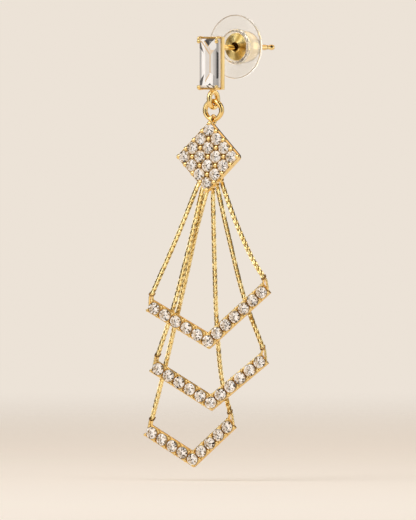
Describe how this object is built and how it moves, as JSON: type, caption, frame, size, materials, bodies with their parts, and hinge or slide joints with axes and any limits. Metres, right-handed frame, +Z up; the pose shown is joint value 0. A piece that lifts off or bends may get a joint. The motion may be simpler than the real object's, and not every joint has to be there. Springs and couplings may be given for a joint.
{
  "type": "tassel earring",
  "caption": "Drop earring: baguette stud on a post with a disc clutch, a pave square on a jump ring, and fine chains that carry nested pave chevrons.",
  "frame": {"origin": "on the ear post's axis at the stud's flat back, where the post enters the ear lobe", "axes": "+Z up as worn, -Y the front that the stud faces, +Y back along the post, +X to the right seen from the front"},
  "size_m": [0.0247, 0.0207, 0.0698],
  "materials": {
    "gold_metal": "polished gold plate",
    "crystal": "faceted and polished",
    "clear_plastic": "clear"
  },
  "bodies": {
    "stud": {"stud_setting": "gold_metal", "baguette_stone": "crystal"},
    "clutch": {"clutch_barrel": "gold_metal", "clutch_disc": "clear_plastic"},
    "jump_ring": {"jump_ring": "gold_metal"},
    "drop": {"pave_plaque": "gold_metal", "chevron_upper": "gold_metal", "chevron_middle": "gold_metal", "chevron_lower": "gold_metal", "chain_upper_left": "gold_metal", "chain_upper_right": "gold_metal", "chain_middle_left": "gold_metal", "chain_middle_right": "gold_metal", "chain_lower_left": "gold_metal", "chain_lower_right": "gold_metal"}
  },
  "joints": [
    {"name": "clutch_slide", "type": "slide", "parent": "stud", "child": "clutch", "axis": [0, 1, 0], "range_m": [-0.0045, 0.0055]},
    {"name": "ring_swing", "type": "hinge", "parent": "stud", "child": "jump_ring", "pos_m": [0, -0.00012, -0.00921], "axis": [0, 1, 0], "range_deg": [-35, 35]},
    {"name": "drop_swing", "type": "hinge", "parent": "jump_ring", "child": "drop", "pos_m": [0, -0.00012, -0.01114], "axis": [0.9921, 0.1253, 0], "range_deg": [-40, 40]}
  ]
}
